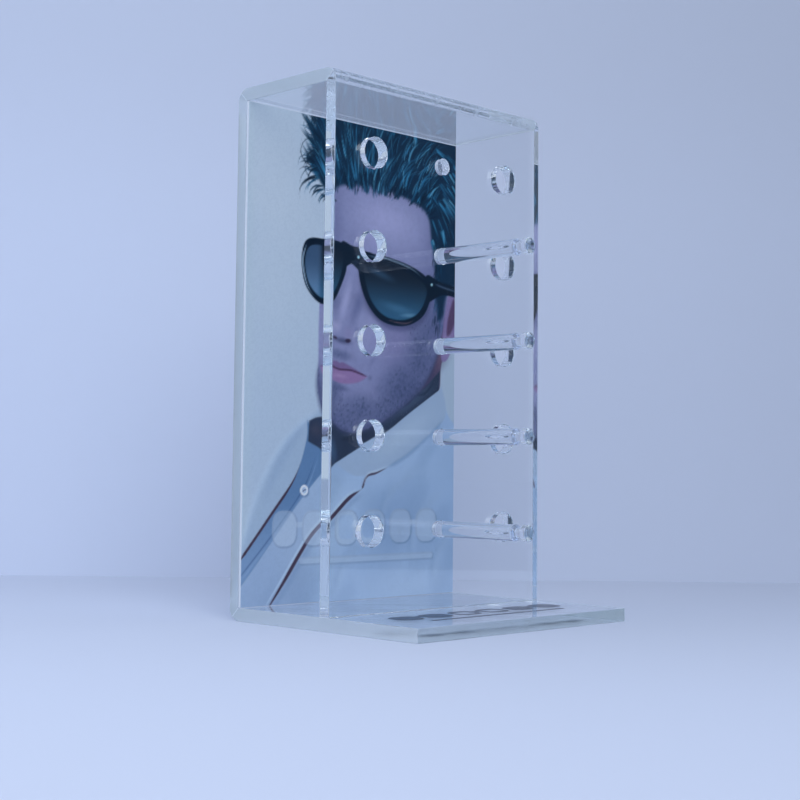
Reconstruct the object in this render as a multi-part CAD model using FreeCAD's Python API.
"""Clear acrylic display rack for five pairs of glasses, built from bonded 10 mm sheet.

Four panels make a tall open-sided loop: the base, the back, the top and the front. Their three
outer corners are mitred, bonded and rounded, and the front panel stands on the base on a butt
bond. The base runs on in front of the loop. Each row of the front panel has two through holes
for the temple arms of a pair of glasses, and a blind socket between them for a plug-in peg with
a groove near its tip, which carries the bridge. The top socket is left empty. A printed film on
a white board covers the inside of the back panel, and a small decal lies on the base.

Frame: +X to the right of someone facing the rack, +Y from the front to the back, +Z up.
The origin is the centre of the base's underside. All sizes are in millimetres.
"""

import FreeCAD, Part
import math
import os

from FreeCAD import Vector

# Driving dimensions: the sheet work.
WIDTH = 225.0
HEIGHT = 400.0
SHEET = 10.0
BASE_DEPTH = 195.0
LOOP_DEPTH = 109.0  # from the front panel's front face to the back panel's rear face
EDGE_BREAK = 0.4  # the small bevel that is polished on every exposed edge
BOND = 0.2  # thickness of the cement between two panels

# Driving dimensions: the rows of holes.
ROWS = 5
ROW_PITCH = 68.5
LOWEST_ROW_Z = 69.0
TEMPLE_SPACING = 143.0
TEMPLE_HOLE_R = 11.25

# Driving dimensions: the sockets and the pegs that plug into them.
PEG_R = 6.0
PEG_CLEARANCE = 0.05  # radial, between a peg and its socket
SOCKET_DEPTH = 7.0
SOCKET_END_GAP = 0.2
DRILL_MARK_R = 0.9
DRILL_MARK_DEPTH = 0.9
PEG_REACH = 86.0  # from the front panel's front face to the tip
GROOVE_START = 73.5  # where the full-width shank ends, from the panel's front face
GROOVE_BOTTOM_START = 75.5
GROOVE_BOTTOM_END = 77.5
FLARE_END = 82.0  # where the knob is back to the full width
GROOVE_R = 3.6
TIP_BREAK = 0.6

# Driving dimensions: the graphic on the back panel.
BOARD = 2.0
FILM = 0.3
TAPE = 0.15
TAPE_WIDTH = 15.0
TAPE_INSET = 6.0
BOARD_SIDE_GAP = 0.2
BOARD_END_GAP = 0.4

# Driving dimensions: the decal on the base, a row of small spectacles over a thin rule.
DECAL = 0.12
DECAL_X = 4.0
DECAL_Y = -46.0
SPECTACLES = 3
SPECTACLES_PITCH = 60.0
LENS_WIDTH = 24.0
LENS_DEPTH = 21.0
LENS_CORNER = 8.0
LENS_GAP = 6.0
LINE_WIDTH = 4.0
RULE_LENGTH = 143.0
RULE_WIDTH = 3.5
RULE_OFFSET = 22.0

# Places that follow from the driving dimensions.
HALF_WIDTH = WIDTH / 2
BASE_FRONT_Y = -BASE_DEPTH / 2
BACK_Y = BASE_DEPTH / 2
FRONT_Y = BACK_Y - LOOP_DEPTH
INNER_FRONT_Y = FRONT_Y + SHEET
INNER_BACK_Y = BACK_Y - SHEET
INNER_TOP_Z = HEIGHT - SHEET
ROW_HEIGHTS = [LOWEST_ROW_Z + ROW_PITCH * row for row in range(ROWS)]
PEG_ROWS = range(ROWS - 1)  # every row but the top one has its peg
SOCKET_R = PEG_R + PEG_CLEARANCE
FORWARD = Vector(0, -1, 0)


def box(x_range, y_range, z_range):
    """A block between two corners given as ranges."""
    corner = Vector(x_range[0], y_range[0], z_range[0])
    sides = [high - low for low, high in (x_range, y_range, z_range)]
    return Part.makeBox(*sides, corner)


def across_width(y_range, z_range):
    """A block over the rack's whole width."""
    return box((-HALF_WIDTH, HALF_WIDTH), y_range, z_range)


def corner_round(y, z, y_side, z_side):
    """A quarter disc of the sheet's thickness about an inner corner, on the side given by signs."""
    disc = Part.makeCylinder(SHEET, WIDTH, Vector(-HALF_WIDTH, y, z), Vector(1, 0, 0))
    y_range = sorted((y, y + y_side * SHEET))
    z_range = sorted((z, z + z_side * SHEET))
    return disc.common(across_width(y_range, z_range))


def loop_blank():
    """The four panels as one closed loop with rounded outer corners and broken side edges."""
    blank = across_width((BASE_FRONT_Y, INNER_BACK_Y), (0, SHEET))
    blank = blank.fuse(
        [
            corner_round(INNER_BACK_Y, SHEET, 1, -1),
            across_width((INNER_BACK_Y, BACK_Y), (SHEET, INNER_TOP_Z)),
            corner_round(INNER_BACK_Y, INNER_TOP_Z, 1, 1),
            across_width((INNER_FRONT_Y, INNER_BACK_Y), (INNER_TOP_Z, HEIGHT)),
            corner_round(INNER_FRONT_Y, INNER_TOP_Z, -1, 1),
            across_width((FRONT_Y, INNER_FRONT_Y), (SHEET, INNER_TOP_Z)),
        ]
    )
    blank = blank.removeSplitter()
    side_edges = [
        edge
        for edge in blank.Edges
        if abs(abs(edge.CenterOfMass.x) - HALF_WIDTH) < 1e-6
        and edge.BoundBox.XLength < 1e-6
    ]
    front_edges = [
        edge
        for edge in blank.Edges
        if abs(edge.CenterOfMass.y - BASE_FRONT_Y) < 1e-6
        and edge.BoundBox.XLength > WIDTH / 2
    ]
    return blank.makeChamfer(EDGE_BREAK, side_edges + front_edges)


def mitre_slab(y, z, y_side, z_side):
    """The thin diagonal layer of cement that starts at an inner corner and runs outwards."""
    slab = box((-HALF_WIDTH, HALF_WIDTH), (-BOND, 2 * SHEET), (-BOND / 2, BOND / 2))
    angle = math.degrees(math.atan2(z_side, y_side))
    slab.rotate(Vector(0, 0, 0), Vector(1, 0, 0), angle)
    slab.translate(Vector(0, y, z))
    return slab


def bond_slabs():
    """Where the cement lies, by the name of its node."""
    return {
        "bond_base_to_back": mitre_slab(INNER_BACK_Y, SHEET, 1, -1),
        "bond_back_to_top": mitre_slab(INNER_BACK_Y, INNER_TOP_Z, 1, 1),
        "bond_top_to_front": mitre_slab(INNER_FRONT_Y, INNER_TOP_Z, -1, 1),
        "bond_front_to_base": across_width(
            (FRONT_Y, INNER_FRONT_Y), (SHEET, SHEET + BOND)
        ),
    }


def through_hole(x, z):
    """The cutter for one temple hole, with both rims broken."""
    cutter = Part.makeCylinder(
        TEMPLE_HOLE_R, SHEET, Vector(x, INNER_FRONT_Y, z), FORWARD
    )
    rim_r = TEMPLE_HOLE_R + EDGE_BREAK
    front_rim = Part.makeCone(
        rim_r, TEMPLE_HOLE_R, EDGE_BREAK, Vector(x, FRONT_Y, z), -FORWARD
    )
    back_rim = Part.makeCone(
        rim_r, TEMPLE_HOLE_R, EDGE_BREAK, Vector(x, INNER_FRONT_Y, z), FORWARD
    )
    return cutter.fuse([front_rim, back_rim])


def socket(z):
    """The cutter for one blind peg socket, with the drill's mark at its bottom."""
    bore = Part.makeCylinder(SOCKET_R, SOCKET_DEPTH, Vector(0, FRONT_Y, z), -FORWARD)
    rim = Part.makeCone(
        SOCKET_R + EDGE_BREAK,
        SOCKET_R,
        EDGE_BREAK,
        Vector(0, FRONT_Y, z),
        -FORWARD,
    )
    mark = Part.makeCone(
        DRILL_MARK_R,
        0,
        DRILL_MARK_DEPTH,
        Vector(0, FRONT_Y + SOCKET_DEPTH, z),
        -FORWARD,
    )
    return bore.fuse([rim, mark])


def drilled(panel):
    """The front panel with its temple holes and sockets."""
    cutters = []
    for z in ROW_HEIGHTS:
        cutters.append(through_hole(-TEMPLE_SPACING / 2, z))
        cutters.append(through_hole(TEMPLE_SPACING / 2, z))
        cutters.append(socket(z))
    return panel.cut(cutters)


def panels_and_bonds():
    """The loop cut apart along its cement layers."""
    blank = loop_blank()
    slabs = bond_slabs()
    nodes = {name: blank.common(slab) for name, slab in slabs.items()}
    pieces = blank.cut(list(slabs.values())).Solids
    places = {
        "base_plate": lambda c: c.z < SHEET,
        "top_panel": lambda c: c.z > INNER_TOP_Z,
        "back_panel": lambda c: SHEET < c.z < INNER_TOP_Z and c.y > INNER_BACK_Y,
        "front_panel": lambda c: SHEET < c.z < INNER_TOP_Z and c.y < INNER_FRONT_Y,
    }
    for name, here in places.items():
        found = [piece for piece in pieces if here(piece.CenterOfMass)]
        if len(found) != 1:
            raise ValueError(f"{name}: expected one piece, found {len(found)}")
        nodes[name] = found[0]
    nodes["front_panel"] = drilled(nodes["front_panel"])
    return nodes


def peg(z):
    """One plug-in peg, turned from rod, as a profile spun about its axis."""
    inner_end = -(SOCKET_DEPTH - SOCKET_END_GAP)
    stations = [
        (inner_end, 0),
        (inner_end, PEG_R - EDGE_BREAK),
        (inner_end + EDGE_BREAK, PEG_R),
        (GROOVE_START, PEG_R),
        (GROOVE_BOTTOM_START, GROOVE_R),
        (GROOVE_BOTTOM_END, GROOVE_R),
        (FLARE_END, PEG_R),
        (PEG_REACH - TIP_BREAK, PEG_R),
        (PEG_REACH, PEG_R - TIP_BREAK),
        (PEG_REACH, 0),
    ]
    points = [Vector(radius, FRONT_Y - along, z) for along, radius in stations]
    profile = Part.makePolygon(points + points[:1])
    axis_point = Vector(0, FRONT_Y, z)
    return Part.Face(profile).revolve(axis_point, FORWARD, 360)


def graphic():
    """The white board, the printed film on its face, and the tape behind it."""
    side = HALF_WIDTH - BOARD_SIDE_GAP
    z_range = (SHEET + BOARD_END_GAP, INNER_TOP_Z - BOARD_END_GAP)
    tape_y = INNER_BACK_Y - TAPE
    board_y = tape_y - BOARD
    board = box((-side, side), (board_y, tape_y), z_range)
    film = box((-side, side), (board_y - FILM, board_y), z_range)
    strips = []
    for sign in (-1, 1):
        outer = sign * (side - TAPE_INSET)
        x_range = sorted((outer, outer - sign * TAPE_WIDTH))
        tape_z = (z_range[0] + TAPE_INSET, z_range[1] - TAPE_INSET)
        strips.append(box(x_range, (tape_y, INNER_BACK_Y), tape_z))
    return {
        "graphic_board": board,
        "printed_film": film,
        "mounting_tape": Part.makeCompound(strips),
    }


def rounded_slab(x, y, width, depth, corner):
    """A flat decal shape with rounded corners, on the base's top face."""
    slab = box(
        (x - width / 2, x + width / 2),
        (y - depth / 2, y + depth / 2),
        (SHEET, SHEET + DECAL),
    )
    upright = [edge for edge in slab.Edges if edge.BoundBox.ZLength > DECAL / 2]
    return slab.makeFillet(corner, upright)


def spectacles(x, tinted):
    """One pair of spectacles seen from the front: two lenses and a bridge, tinted ones solid."""
    lens_offset = (LENS_GAP + LENS_WIDTH) / 2
    shape = box(
        (x - lens_offset, x + lens_offset),
        (DECAL_Y + LINE_WIDTH / 4, DECAL_Y + LINE_WIDTH * 1.25),
        (SHEET, SHEET + DECAL),
    )
    lenses = (x - lens_offset, x + lens_offset)
    shape = shape.fuse(
        [rounded_slab(lens, DECAL_Y, LENS_WIDTH, LENS_DEPTH, LENS_CORNER) for lens in lenses]
    ).removeSplitter()
    if not tinted:
        for lens in lenses:
            opening = rounded_slab(
                lens,
                DECAL_Y,
                LENS_WIDTH - 2 * LINE_WIDTH,
                LENS_DEPTH - 2 * LINE_WIDTH,
                LENS_CORNER - LINE_WIDTH,
            )
            shape = shape.cut(opening)
    return shape.Solids


def base_decal():
    """A row of spectacles, every other pair tinted, over a thin rule, cut from thin dark vinyl."""
    solids = []
    for place in range(SPECTACLES):
        x = DECAL_X + (place - (SPECTACLES - 1) / 2) * SPECTACLES_PITCH
        solids.extend(spectacles(x, tinted=place % 2 == 0))
    rule = rounded_slab(
        DECAL_X, DECAL_Y - RULE_OFFSET, RULE_LENGTH, RULE_WIDTH, RULE_WIDTH / 2 - 0.05
    )
    return Part.makeCompound(solids + [rule])


def build():
    """Every node of the rack by name."""
    nodes = panels_and_bonds()
    for row in PEG_ROWS:
        nodes[f"nose_peg_{row + 1}"] = peg(ROW_HEIGHTS[row])
    nodes.update(graphic())
    nodes["base_decal"] = base_decal()
    return nodes


os.makedirs("parts", exist_ok=True)
for node_name, shape in build().items():
    if not shape.isValid():
        raise ValueError(f"{node_name} is not a valid shape")
    shape.exportStep(f"parts/{node_name}.step")
    print(node_name, len(shape.Solids), round(shape.Volume, 1))
